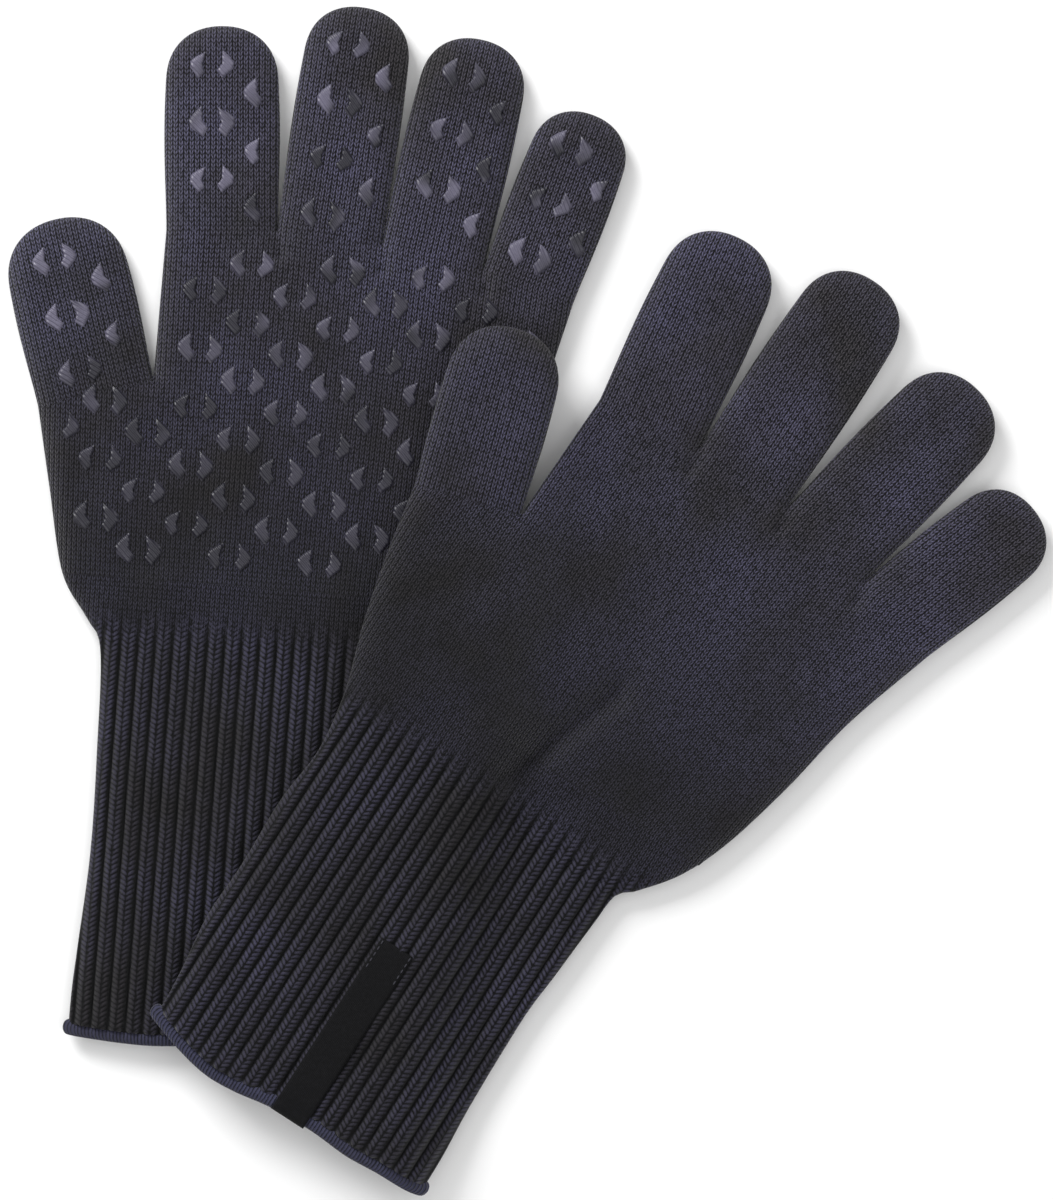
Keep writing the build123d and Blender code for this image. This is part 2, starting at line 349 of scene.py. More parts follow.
    def _stitch(self, tree: bpy.types.NodeTree, u: bpy.types.NodeSocket, v: bpy.types.NodeSocket,
                wale: float, course: float, slant_by: float) -> bpy.types.NodeSocket:
        """Height of the fabric's own pattern, 0 in the gaps and 1 on the yarn.

        Args:
            tree: Node tree to add to.
            u: Distance across the wales.
            v: Distance along them.
            wale: Width of a column of stitches.
            course: Height of a row of stitches.
            slant_by: How far a loop's legs lean, in rows.

        Returns:
            The height socket.
        """
        across = sums(tree, "FRACT", sums(tree, "ADD", sums(tree, "DIVIDE", u, wale), 0.5))
        if self.weave in (Weave.JERSEY, Weave.RIB):
            arm = sums(tree, "ABSOLUTE", sums(tree, "SUBTRACT", sums(tree, "MULTIPLY", across, 2.0), 1.0))
            slant = sums(tree, "ADD", sums(tree, "DIVIDE", v, course),
                         sums(tree, "MULTIPLY", arm, slant_by))
            loop = sums(tree, "SINE", sums(tree, "MULTIPLY", sums(tree, "FRACT", slant), math.pi))
            leg = sums(tree, "SINE", sums(tree, "MULTIPLY", sums(
                tree, "FRACT", sums(tree, "MULTIPLY", across, 2.0)), math.pi))
            yarn = sums(tree, "ADD", 0.15, sums(tree, "MULTIPLY", loop, 0.85))
            gap = sums(tree, "SUBTRACT", 1.0, sums(tree, "MULTIPLY", sums(tree, "POWER", arm, 3.0), 0.9))
            return sums(tree, "MULTIPLY", sums(tree, "MULTIPLY", yarn, gap),
                        sums(tree, "POWER", sums(tree, "MAXIMUM", leg, 0.0), 0.7))
        along = sums(tree, "FRACT", sums(tree, "DIVIDE", v, course))
        a = sums(tree, "SINE", sums(tree, "MULTIPLY", across, math.pi))
        b = sums(tree, "SINE", sums(tree, "MULTIPLY", along, math.pi))
        if self.weave is Weave.OVERLOCK:
            return sums(tree, "POWER", a, 0.7)
        return sums(tree, "MULTIPLY", a, b)


@dataclass(frozen=True)
class Silicone:
    """Cured silicone print, dark and slightly glossy, with painted highlights."""

    name: str = "silicone_print"
    base: str = "#201f28"
    # Painted highlight colour
    painted_glint: str = "#5b5869"
    roughness: float = 0.38

    def make(self) -> bpy.types.Material:
        """Build the material.

        Returns:
            The new material.
        """
        material, tree, shader = blank(self.name)
        coords = node(tree, "ShaderNodeTexCoord").outputs["Object"]
        grain = node(tree, "ShaderNodeTexNoise", Vector=coords, Scale=900.0, Detail=2.0).outputs[0]
        uv = node(tree, "ShaderNodeUVMap", set_uv_map="mm").outputs[0]
        knit = node(tree, "ShaderNodeTexWave", Vector=uv, set_bands_direction="DIAGONAL", Scale=0.36,
                    Distortion=1.5).outputs["Fac"]
        height = sums(tree, "ADD", sums(tree, "MULTIPLY", grain, 0.5), knit)
        bump = node(tree, "ShaderNodeBump", Strength=0.9, Distance=0.25 * MM, Height=height)
        tree.links.new(bump.outputs[0], shader.inputs["Normal"])
        # Painted highlight: the print is mixed towards the highlight colour in clouds of noise, more on
        # the fingers than on the palm
        cloud = node(tree, "ShaderNodeTexNoise", Vector=coords, Scale=55.0, Detail=1.0).outputs[0]
        along = node(tree, "ShaderNodeSeparateXYZ", n0=uv).outputs[1]
        mixed = node(tree, "ShaderNodeMix", set_data_type="RGBA", Factor=sums(
            tree, "MULTIPLY", node(tree, "ShaderNodeMapRange", Value=cloud, n1=0.42, n2=0.62).outputs[0],
            node(tree, "ShaderNodeMapRange", Value=along, n1=GRIPS_GLINT_GROWS[0],
                 n2=GRIPS_GLINT_GROWS[1], n3=0.22).outputs[0]))
        mixed.inputs[6].default_value = srgb(self.base)
        mixed.inputs[7].default_value = srgb(self.painted_glint)
        tree.links.new(mixed.outputs[2], shader.inputs["Base Color"])
        shader.inputs["Roughness"].default_value = self.roughness
        return material


@dataclass(frozen=True)
class Plain:
    """An even matt colour, for the floor and thread."""

    name: str
    base: str
    roughness: float = 0.8

    def make(self) -> bpy.types.Material:
        """Build the material.

        Returns:
            The new material.
        """
        material, _, shader = blank(self.name)
        shader.inputs["Base Color"].default_value = srgb(self.base)
        shader.inputs["Roughness"].default_value = self.roughness
        return material


@dataclass
class Wardrobe:
    """Every finish the pair uses, made once."""

    jersey: bpy.types.Material
    rib: bpy.types.Material
    hem: bpy.types.Material
    silicone: bpy.types.Material
    tape: bpy.types.Material
    thread: bpy.types.Material

    @classmethod
    def make(cls) -> "Wardrobe":
        """Build the finishes.

        Returns:
            The filled wardrobe.
        """
        return cls(
            jersey=Knit("aramid_jersey", "#5b5973", "#020204", "#403d42", Weave.JERSEY, relief=0.5).make(),
            rib=Knit("rib_knit", "#5b5973", "#020204", "#403d42", Weave.RIB, wale=5.6, course=1.6,
                     slant=-1.1).make(),
            hem=Knit("overlocked_hem", "#37384d", "#0e0e17", "#323243", Weave.OVERLOCK, wale=1.1).make(),
            silicone=Silicone().make(),
            tape=Knit("woven_tape", "#17171a", "#060607", "#141416", Weave.TAPE, wale=0.5, course=0.35,
                      relief=0.08, sheen=0.0).make(),
            thread=Plain("sewing_thread", "#26252e").make())


# ---------------------------------------------------------------- mesh helpers
def add_patch(bm: bmesh.types.BMesh, across: int, along: int, place: Place, flip: bool = False) -> None:
    """Add a grid and lay it on a surface, with its UV map in millimetres.

    Args:
        bm: Mesh being built.
        across: Segments across.
        along: Segments along.
        place: Turns grid shares 0..1 into points and UVs, both in millimetres.
        flip: Turn the faces over.
    """
    verts = bmesh.ops.create_grid(bm, x_segments=across, y_segments=along, size=1.0)["verts"]
    shares = np.array([(v.co.x, v.co.y) for v in verts]) * 0.5 + 0.5
    points, uvs = place(shares[:, 0], shares[:, 1])
    layer = bm.loops.layers.uv.get("mm") or bm.loops.layers.uv.new("mm")
    spot = {v: uv for v, uv in zip(verts, uvs.tolist())}
    for vert, point in zip(verts, (points * MM).tolist()):
        vert.co = point
    faces = {f for v in verts for f in v.link_faces}
    for face in faces:
        face.smooth = True
        for loop in face.loops:
            loop[layer].uv = spot[loop.vert]
    if flip:
        bmesh.ops.reverse_faces(bm, faces=list(faces))


def finish_mesh(bm: bmesh.types.BMesh, name: str, material: bpy.types.Material,
                weld: float = 1e-6) -> bpy.types.Object:
    """Weld a built mesh and put it in the scene.

    Args:
        bm: Mesh being built; freed here.
        name: Object name.
        material: Its finish.
        weld: Merge distance in metres.

    Returns:
        The new object.
    """
    bmesh.ops.remove_doubles(bm, verts=bm.verts, dist=weld)
    mesh = bpy.data.meshes.new(name)
    bm.to_mesh(mesh)
    bm.free()
    mesh.materials.append(material)
    made = bpy.data.objects.new(name, mesh)
    bpy.context.collection.objects.link(made)
    return made


def thicken(piece: bpy.types.Object, wall: float, offset: float = -1.0) -> None:
    """Give a single skin its fabric thickness.

    Args:
        piece: Object to change.
        wall: Thickness in millimetres.
        offset: From -1, wholly behind the skin, to 1, wholly before it.
    """
    modifier = piece.modifiers.new("fabric", "SOLIDIFY")
    modifier.thickness = wall * MM
    modifier.offset = offset


# ---------------------------------------------------------------- the pattern
@dataclass(frozen=True)
class StallCut:
    """One stall's size and its lean, clockwise from the hand's own axis."""

    width: float
    length: float
    lean: float


@dataclass(frozen=True)
class Crease:
    """A soft furrow (or ridge, when depth is negative) in the upper face."""

    start: tuple[float, float]
    end: tuple[float, float]
    depth: float
    width: float


@dataclass
class GlovePlan:
    """Flat pattern of one glove, where it lies, and the height of its two faces."""

    side: str
    wrist: tuple[float, float]
    tilt: float
    root: tuple[float, float]
    web: tuple[float, float]
    stalls: dict[str, StallCut]
    ball: list[tuple[float, float]]
    heel: list[tuple[float, float]]
    cuff_left: list[tuple[float, float]]
    cuff_right: list[tuple[float, float]]
    cuff_long: float
    palm_up: bool
    hem_wave: list[tuple[float, float]]
    creases: list[Crease] = field(default_factory=list)

    def __post_init__(self) -> None:
        """Work out the outline once."""
        self.chain = self._chain()
        self.outline = self._outline()

    def _chain(self) -> np.ndarray:
        """Ends of the four finger roots, thumb side first.

        Returns:
            Five points.
        """
        points = [np.array(self.root, float)]
        for name in ("index", "middle", "ring", "little"):
            cut = self.stalls[name]
            points.append(points[-1] + unit(cut.lean)[1] * cut.width)
        return np.array(points)

    def stall_frame(self, name: str) -> tuple[np.ndarray, np.ndarray, np.ndarray]:
        """Middle of a stall's root, its heading and the direction across it.

        Args:
            name: Stall name.

        Returns:
            Root point, heading and right-hand direction, in the glove's own plane.
        """
        cut = self.stalls[name]
        along, across = unit(cut.lean)
        if name == "thumb":
            return np.array(self.web) - across * cut.width / 2, along, across
        i = ("index", "middle", "ring", "little").index(name)
        return (self.chain[i] + self.chain[i + 1]) / 2, along, across

    def half_width(self, name: str, along: np.ndarray) -> np.ndarray:
        """Half a stall's width at a distance beyond its root.

        Args:
            name: Stall name.
            along: Distances beyond the root.

        Returns:
            Half widths.
        """
        cut = self.stalls[name]
        cap = cut.width * 0.50
        share = np.clip(along / cut.length, 0, 1)
        body = (1 - 0.03 * share) * (1 + 0.055 * np.sin(math.pi * share) ** 1.5)
        nose = np.clip((along - (cut.length - cap)) / cap, 0, 1)
        return cut.width / 2 * body * (1 - nose**2.5) ** (1 / 2.15)

    def _stall_edge(self, name: str) -> np.ndarray:
        """A stall's outline from one side of its root round the tip to the other.

        Args:
            name: Stall name.

        Returns:
            Polyline.
        """
        foot, along, across = self.stall_frame(name)
        share = 1 - (1 - np.linspace(0, 1, 48)) ** 2.2
        reach = share * self.stalls[name].length
        half = self.half_width(name, reach)
        left = foot + np.outer(reach, along) - np.outer(half, across)
        right = foot + np.outer(reach, along) + np.outer(half, across)
        return np.vstack([left, right[::-1]])

    def thumb_side(self) -> np.ndarray:
        """Outer end of the thumb's root.

        Returns:
            The point.
        """
        foot, _, across = self.stall_frame("thumb")
        return foot - across * self.stalls["thumb"].width / 2

    def left_edge(self) -> np.ndarray:
        """Thumb-side edge from beyond the hem up to the thumb's root.

        Returns:
            Polyline.
        """
        return curve_through([*self.cuff_left, *self.ball, self.thumb_side()])

    def right_edge(self) -> np.ndarray:
        """Outer edge from beyond the hem up to the little finger's root.

        Returns:
            Polyline.
        """
        return curve_through([*self.cuff_right, *self.heel, self.chain[-1]])

    def _outline(self) -> np.ndarray:
        """The whole outline, open at the hem.

        Returns:
            Polyline.
        """
        fingers = [self._stall_edge(n) for n in ("index", "middle", "ring", "little")]
        return np.vstack([self.left_edge(), self._stall_edge("thumb"), *fingers,
                          self.right_edge()[::-1]])

    def to_world(self, xy: np.ndarray) -> np.ndarray:
        """Move points from the glove's own plane to the shared one.

        Args:
            xy: Points in the glove's plane.

        Returns:
            Points in the row's plane.
        """
        along, across = unit(self.tilt)
        return np.array(self.wrist) + np.outer(xy[:, 0], across) + np.outer(xy[:, 1], along)

    def mid(self, world: np.ndarray) -> np.ndarray:
        """Height of the glove's mid surface, which steps down where the lower glove ends.

        Args:
            world: Points in the row's plane.

        Returns:
            Heights.
        """
        if self.palm_up:
            return np.full(len(world), THICK / 2)
        run = STEP_TO - STEP_FROM
        across = np.array((-run[1], run[0])) / np.linalg.norm(run)
        s = (world - STEP_FROM) @ across
        share = smooth((s - STEP_SPAN[0]) / (STEP_SPAN[1] - STEP_SPAN[0]))
        return HIGH_MID + (LOW_MID - HIGH_MID) * share

    def heave(self, xy: np.ndarray) -> np.ndarray:
        """Slack in the upper face: furrows, puckers and slow waves.

        Args:
            xy: Points in the glove's plane.

        Returns:
            Height to add to the upper face.
        """
        total = np.zeros(len(xy))
        for k, (size, turn, phase) in enumerate(((31, 20, 0.4), (43, 75, 1.9), (27, 130, 2.6),
                                                 (58, 160, 4.1), (19, 48, 0.9))):
            ray = unit(turn + 11 * k + (0 if self.palm_up else 37))[0]
            total += 0.16 * np.sin(2 * math.pi * (xy @ ray) / size + phase)
        puckers = [Crease(tuple(p), (p[0] + 1.0, p[1] - 8.0), 2.8, 2.3) for p in self.chain[1:4]]
        for crease in [*self.creases, *puckers]:
            a, b = np.array(crease.start), np.array(crease.end)
            run = b - a
            share = np.clip(((xy - a) @ run) / (run @ run), -0.2, 1.2)
            off = np.linalg.norm(xy - a - np.clip(share, 0, 1)[:, None] * run, axis=1)
            total -= crease.depth * np.exp(-((off / crease.width) ** 2))
        return total

    def face(self, xy: np.ndarray, upper: bool, rib: np.ndarray | float = 0.0) -> np.ndarray:
        """Points on the upper or lower face.

        Args:
            xy: Points in the glove's plane.
            upper: Which face.
            rib: Extra height of the ribs.

        Returns:
            Points in the row's frame.
        """
        world = self.to_world(xy)
        depth = distance_to(self.outline, xy)
        thick = CUFF_THICK + (THICK - CUFF_THICK) * smooth(xy[:, 1] / HAND_FOOT)
        swell = (1 - (1 - np.clip(depth / EDGE_ROLL, 0, 1)) ** 2.3) ** 0.5
        half = thick / 2 * swell + rib * np.clip(depth / 3.0, 0, 1)
        if upper:
            half = half + self.heave(xy) * np.clip(depth / 9.0, 0, 1)
        z = self.mid(world) + (half if upper else -half)
        return np.column_stack([world, z])

    def wales(self, xy: np.ndarray) -> np.ndarray:
        """Stitch coordinates on the hand, fanning out to meet the fingers' own.

        Args:
            xy: Points in the glove's plane.

        Returns:
            UV in millimetres.
        """
        x, y = xy[:, 0], xy[:, 1]
        cx, cy = self.chain[:, 0], self.chain[:, 1]
        count = np.r_[0, np.cumsum(np.linalg.norm(np.diff(self.chain, axis=0), axis=1))]
        top = np.interp(x, cx, count) + np.minimum(x - cx[0], 0) + np.maximum(x - cx[-1], 0)
        rise = y / np.interp(x, cx, cy)
        share = np.clip(rise, 0, 1)
        low = 1.12 * x + 45.0
        return np.column_stack([low + (top - low) * share, ROOT_ROW * rise])


# ---------------------------------------------------------------- pieces of a glove
@dataclass
class GlovePiece:
    """Something cut from one glove's pattern."""

    plan: GlovePlan
    finishes: Wardrobe

    def two_faces(self, name: str, grid: tuple[int, int], place: Callable[[bool], Place],
                  finish: bpy.types.Material, flip_upper: bool = False) -> bpy.types.Object:
        """Make a flat tube of an upper and a lower face that share their rims.

        Args:
            name: Object name.
            grid: Segments across and along.
            place: Gives the placing function of the upper (True) or lower (False) face.
            finish: Material.
            flip_upper: Turn the upper face over in place of the lower one.

        Returns:
            The piece.
        """
        bm = bmesh.new()
        for upper in (True, False):
            add_patch(bm, *grid, place(upper), flip=upper == flip_upper)
        return finish_mesh(bm, name, finish, 2e-6)

    def fold_with(self, piece: bpy.types.Object, name: str) -> None:
        """Bake a piece's placement into its mesh.

        Args:
            piece: Final mesh.
            name: Stall name.
        """
        foot, along, _ = self.plan.stall_frame(name)
        ends = self.plan.to_world(np.array([foot - along * 0.5, foot + along * FOLD_REACH]))
        height = float(self.plan.mid(ends[:1])[0])
        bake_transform(piece)


@dataclass
class Stall(GlovePiece):
    """A knitted finger or thumb stall."""

    name: str = "index"
    grid: tuple[int, int] = (56, 64)

    def _place(self, upper: bool) -> Place:
        """Make the function that lays a grid on one face.

        Args:
            upper: Which face.

        Returns:
            The placing function.
        """
        cut = self.plan.stalls[self.name]
        foot, along, across = self.plan.stall_frame(self.name)
        first = {"thumb": 0, "index": 0, "middle": 1, "ring": 2, "little": 3}[self.name]
        widths = [self.plan.stalls[n].width for n in ("index", "middle", "ring", "little")]
        start = sum(widths[:first]) + cut.width / 2 + (0.0 if self.name != "thumb" else -60.0)
        rise = self.plan.web[1] if self.name == "thumb" else ROOT_ROW

        def place(a: np.ndarray, b: np.ndarray) -> tuple[np.ndarray, np.ndarray]:
            """Lay grid shares on the stall.

            Args:
                a: Shares across.
                b: Shares along.

            Returns:
                Points and UVs.
            """
            reach = -ROOT_LAP + (cut.length + ROOT_LAP) * (1 - (1 - b) ** 1.9)
            half = self.plan.half_width(self.name, np.maximum(reach, 0))
            side = -np.cos(math.pi * a) * half
            xy = foot + np.outer(reach, along) + np.outer(side, across)
            points = self.plan.face(xy, upper)
            rim = ((a < 1e-6) | (a > 1 - 1e-6) | (b > 1 - 1e-6)) & (reach > 0)
            points[rim, 2] = self.plan.mid(points[rim, :2])
            lap = np.clip(-reach / ROOT_LAP, 0, 1)
            points[:, 2] += lap * (-0.3 if upper else 0.3)
            return points, np.column_stack([start + side, rise + reach])
        return place

    def build(self) -> bpy.types.Object:
        """Build the stall.

        Returns:
            The finished piece.
        """
        key = f"{self.plan.side}_{self.name}"
        piece = self.two_faces(f"{key}_knit", self.grid, self._place, self.finishes.jersey)
        self.fold_with(piece, self.name)
        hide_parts(f"{key}_stall", f"{key}_lining")
        return piece


@dataclass
class Hand(GlovePiece):
    """The seamless tube of palm and back."""

    grid: tuple[int, int] = (150, 104)

    def _edges(self) -> tuple[np.ndarray, np.ndarray]:
        """Both side edges from the cuff up to the finger roots.

        Returns:
            Thumb-side and outer polylines.
        """
        left, right = self.plan.left_edge(), self.plan.right_edge()
        left = left[left[:, 1] >= HAND_FOOT - 0.01]
        right = right[right[:, 1] >= HAND_FOOT - 0.01]
        for line in (left, right):
            line[0, 1] = HAND_FOOT
        return left, right

    def _place(self, upper: bool) -> Place:
        """Make the function that lays a grid on one face.

        Args:
            upper: Which face.

        Returns:
            The placing function.
        """
        left_line, right_line = self._edges()
        web, top = np.array(self.plan.web), self.plan.chain[0]
        thumb = self.plan.thumb_side()
        low, high = THUMB_SHARE
        chain = self.plan.chain
        run = np.r_[0, np.cumsum(np.linalg.norm(np.diff(chain, axis=0), axis=1))]

        def place(a: np.ndarray, b: np.ndarray) -> tuple[np.ndarray, np.ndarray]:
            """Lay grid shares on the hand.

            Args:
                a: Shares across.
                b: Shares along.

            Returns:
                Points and UVs.
            """
            left = walk(left_line, np.clip(b / low, 0, 1))
            on_root = (b > low) & (b < high)
            s = ((b - low) / (high - low))[:, None]
            left[on_root] = (thumb + (web - thumb) * s)[on_root]
            s = ((b - high) / (1 - high))[:, None]
            left[b >= high] = (web + (top - web) * s)[b >= high]
            right = walk(right_line, b)
            f = (1 - np.cos(math.pi * a)) / 2
            xy = left + (right - left) * f[:, None]
            on_chain = np.stack([np.interp(f * run[-1], run, chain[:, i]) for i in (0, 1)], -1)
            bow = on_chain - (chain[0] + (chain[-1] - chain[0]) * f[:, None])
            xy = xy + bow * (smooth((b - 0.45) / 0.55))[:, None]
            points = self.plan.face(xy, upper)
            rim = (a > 1 - 1e-6) | ((a < 1e-6) & ((b <= low) | (b >= high)))
            points[rim, 2] = self.plan.mid(points[rim, :2])
            return points, self.plan.wales(xy)
        return place

    def build(self) -> bpy.types.Object:
        """Build the hand.

        Returns:
            The finished piece.
        """
        side = self.plan.side
        piece = self.two_faces(f"{side}_hand_knit", self.grid, self._place, self.finishes.jersey)
        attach(piece, f"{side}_hand")
        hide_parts(f"{side}_hand_shell", f"{side}_hand_lining", f"{side}_crotch_tacks")
        return piece


@dataclass
class Cuff(GlovePiece):
    """The long ribbed cuff, one layer thick."""

    grid: tuple[int, int] = (230, 64)
    pitch: float = 5.6
    height: float = 2.2
    lap: float = 2.5

    def foot(self, x: np.ndarray) -> np.ndarray:
        """Where the cuff ends at each place across it.

        Args:
            x: Places across.

        Returns:
            Distances along the glove, negative below the wrist.
        """
        wave = curve_through(self.plan.hem_wave)
        return np.interp(x, wave[:, 0], wave[:, 1]) - self.plan.cuff_long

    def ribs(self, xy: np.ndarray) -> np.ndarray:
        """Extra height of the ribs, fading out towards the hand.

        Args:
            xy: Points in the glove's plane.

        Returns:
            Heights.
        """
        phase = np.abs(np.sin(math.pi * (xy[:, 0] / self.pitch + 0.5)))
        start = HAND_FOOT - 8.0 - 0.0016 * xy[:, 0] ** 2
        gain = smooth((start - xy[:, 1]) / 13.0)
        tail = 1 - 0.5 * smooth((-self.plan.cuff_long + 5 - xy[:, 1]) / 5.0)
        return self.height * (phase**0.75 - 0.75) * gain * tail

    def _place(self, upper: bool) -> Place:
        """Make the function that lays a grid on one face.

        Args:
            upper: Which face.

        Returns:
            The placing function.
        """
        left, right = self.plan.left_edge(), self.plan.right_edge()

        def place(a: np.ndarray, b: np.ndarray) -> tuple[np.ndarray, np.ndarray]:
            """Lay grid shares on the cuff.

            Args:
                a: Shares across.
                b: Shares along.

            Returns:
                Points and UVs.
            """
            f = (1 - np.cos(math.pi * a)) / 2
            f = 0.5 * f + 0.5 * a
            top = HAND_FOOT + self.lap
            guess = top + (-self.plan.cuff_long - top) * b
            x = np.interp(guess, left[:, 1], left[:, 0])
            x = x + (np.interp(guess, right[:, 1], right[:, 0]) - x) * f
            y = top + (self.foot(x) - top) * b
            xy = np.column_stack([x, y])
            points = self.plan.face(xy, upper, self.ribs(xy))
            sink = 0.5 * smooth((y - HAND_FOOT) / 1.5)
            points[:, 2] -= sink if upper else -sink
            rim = (a < 1e-6) | (a > 1 - 1e-6)
            points[rim, 2] = self.plan.mid(points[rim, :2])
            return points, np.column_stack([x + self.pitch * 100, y])
        return place

    def build(self) -> bpy.types.Object:
        """Build the cuff.

        Returns:
            The finished piece.
        """
        side = self.plan.side
        piece = self.two_faces(f"{side}_rib_cuff", self.grid, self._place, self.finishes.rib, True)
        thicken(piece, 1.2)
        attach(piece, f"{side}_hand")
        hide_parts(f"{side}_cuff")
        return piece


@dataclass
class Hem(GlovePiece):
    """The rolled, overlocked band round the cuff's mouth."""

    radius: float = 2.5
    half_height: float = 2.3
    cuff: Cuff | None = None

    def centre(self, share: np.ndarray) -> tuple[np.ndarray, np.ndarray]:
        """Centre of the roll at shares of its way round.

        Args:
            share: Values from 0 to 1.

        Returns:
            Points in the glove's plane and heights off its mid surface.
        """
        angle = 2 * math.pi * share
        wide = self.plan.cuff_right[0][0]
        narrow = self.plan.cuff_left[0][0]
        c = np.cos(angle)
        x = (wide + narrow) / 2 + (wide - narrow) / 2 * np.sign(c) * np.abs(c) ** 0.9
        s = np.sin(angle)
        lift = self.half_height * np.sign(s) * np.abs(s) ** 0.45
        return np.column_stack([x, self.cuff.foot(x) - 1.3]), lift

    def build(self) -> bpy.types.Object:
        """Build the hem.

        Returns:
            The finished piece.
        """
        def place(a: np.ndarray, b: np.ndarray) -> tuple[np.ndarray, np.ndarray]:
            """Lay grid shares on the roll.

            Args:
                a: Shares round the mouth.
                b: Shares round the section.

            Returns:
                Points and UVs.
            """
            xy, lift = self.centre(a)
            turn = 2 * math.pi * b
            outward = np.column_stack([np.cos(2 * math.pi * a), np.sin(2 * math.pi * a)])
            spread = 0.75 * self.radius * np.cos(turn)
            y = xy[:, 1] + self.radius * np.sin(turn)
            x = xy[:, 0] + outward[:, 0] * spread * np.abs(outward[:, 0])
            flat = np.column_stack([x, y])
            world = self.plan.to_world(flat)
            z = self.plan.mid(world) + lift + outward[:, 1] * spread
            run = np.sign(np.sin(2 * math.pi * a)) * xy[:, 0]
            return np.column_stack([world, z]), np.column_stack([run, b * 15.0])

        bm = bmesh.new()
        add_patch(bm, 320, 18, place)
        bmesh.ops.recalc_face_normals(bm, faces=bm.faces)
        side = self.plan.side
        piece = finish_mesh(bm, f"{side}_hem_roll", self.finishes.hem, 5e-6)
        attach(piece, f"{side}_hand")
        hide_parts(f"{side}_hem_band")
        return piece


@dataclass
class Grips(GlovePiece):
    """Raised silicone halves of a broken hexagon, in staggered rows."""

    half: tuple[tuple[float, float], ...] = (
        (1.9, 4.9), (-0.9, 3.0), (-2.7, 1.2), (-2.6, -1.3),
        (0.9, -4.9), (2.9, -2.3), (1.5, 0.2), (1.9, 2.4))
    apart: float = 9.2
    row: float = 18.6
    rise: float = 0.75

    def stall_spots(self, name: str) -> list[tuple[float, float, bool]]:
        """Centres on a stall, in the stall's own frame.

        Args:
            name: Stall name.

        Returns:
            Across, along and whether the half is mirrored.
        """
        spots: list[tuple[float, float, bool]] = []
        y = self.plan.stalls[name].length - 13.0
        while y > 6.0:
            spots += [(-3.0 - self.apart / 2, y, False), (-3.0 + self.apart / 2, y, True)]
            if y - self.row / 2 > 6.0:
                spots.append((10.0, y - self.row / 2, False))
            y -= self.row
        return spots

    def palm_spots(self) -> list[tuple[float, float, bool]]:
        """Centres on the palm, in the glove's own frame.

        Returns:
            Across, along and whether the half is mirrored.
        """
        spots = []
        for i in range(-5, 7):
            for j in range(8):
                x, y = i * 14.7, 27.5 + (j + ((i + 1) % 2) / 2) * 19.0
                for shift, mirrored in ((-self.apart / 2, False), (self.apart / 2, True)):
                    spots.append((x + shift, y, mirrored))
        chain = self.plan.chain
        keep = []
        for x, y, mirrored in spots:
            below = y < np.interp(x, chain[:, 0], chain[:, 1]) - 6.0
            inside = self._inside(np.array((x, y)))
            if below and inside:
                keep.append((x, y, mirrored))
        return keep

    def _inside(self, point: np.ndarray) -> bool:
        """Whether a centre lies well inside the palm.

        Args:
            point: Place in the glove's plane.

        Returns:
            True if it does.
        """
        left, right = self.plan.left_edge(), self.plan.right_edge()
        low = np.interp(point[1], left[:, 1], left[:, 0])
        high = np.interp(point[1], right[:, 1], right[:, 0])
        if point[1] > self.plan.web[1] - 8:
            low = self.plan.web[0]
        far = distance_to(self.plan.outline, point[None])[0] > 6.5
        return bool(low < point[0] < high and far)

    def _add(self, bm: bmesh.types.BMesh, spot: tuple[float, float, bool], name: str | None) -> None:
        """Add one half to the mesh.

        Args:
            bm: Mesh being built.
            spot: Across, along and whether it is mirrored.
            name: Stall it is on, or None for the palm.
        """
        ring = np.array(self.half)
        if spot[2]:
            ring = ring * (-1, 1)
        wag = math.sin(spot[0] * 12.9 + spot[1] * 78.2)
        ring = ring @ np.array(((math.cos(wag * 0.16), math.sin(wag * 0.16)),
                                (-math.sin(wag * 0.16), math.cos(wag * 0.16)))) * (1 + 0.07 * wag)
        upper = self.plan.palm_up

        def place(a: np.ndarray, b: np.ndarray) -> tuple[np.ndarray, np.ndarray]:
            """Lay grid shares on the half.

            Args:
                a: Shares round it.
                b: Shares from its middle to its edge.

            Returns:
                Points and UVs.
            """
            rim = walk(np.vstack([ring, ring[:1]]), a % 1.0)
            flat = rim * b[:, None] + np.array(spot[:2])
            uv = flat.copy()
            if name is not None:
                foot, along, across = self.plan.stall_frame(name)
                flat = foot + np.outer(flat[:, 1], along) + np.outer(flat[:, 0], across)
                # Stall grips count on from the finger roots, so the painted highlight on the print is
                # stronger on the fingers
                uv[:, 1] += ROOT_ROW
            points = self.plan.face(flat, upper)
            dome = self.rise * (1 - b**5) ** 0.6 - 0.12 * b**5
            points[:, 2] += dome if upper else -dome
            return points, uv
        add_patch(bm, 32, 6, place)

    def build(self, name: str | None) -> bpy.types.Object:
        """Build the grips of one stall, or of the palm.

        Args:
            name: Stall name, or None for the palm.

        Returns:
            The finished piece.
        """
        bm = bmesh.new()
        for spot in self.palm_spots() if name is None else self.stall_spots(name):
            self._add(bm, spot, name)
        bmesh.ops.remove_doubles(bm, verts=bm.verts, dist=2e-6)
        bmesh.ops.recalc_face_normals(bm, faces=bm.faces)
        key = f"{self.plan.side}_{name or 'palm'}"
        piece = finish_mesh(bm, f"{key}_print", self.finishes.silicone)
        if name is None:
            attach(piece, f"{self.plan.side}_hand")
        else:
            self.fold_with(piece, name)
        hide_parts(f"{key}_grips")
        return piece


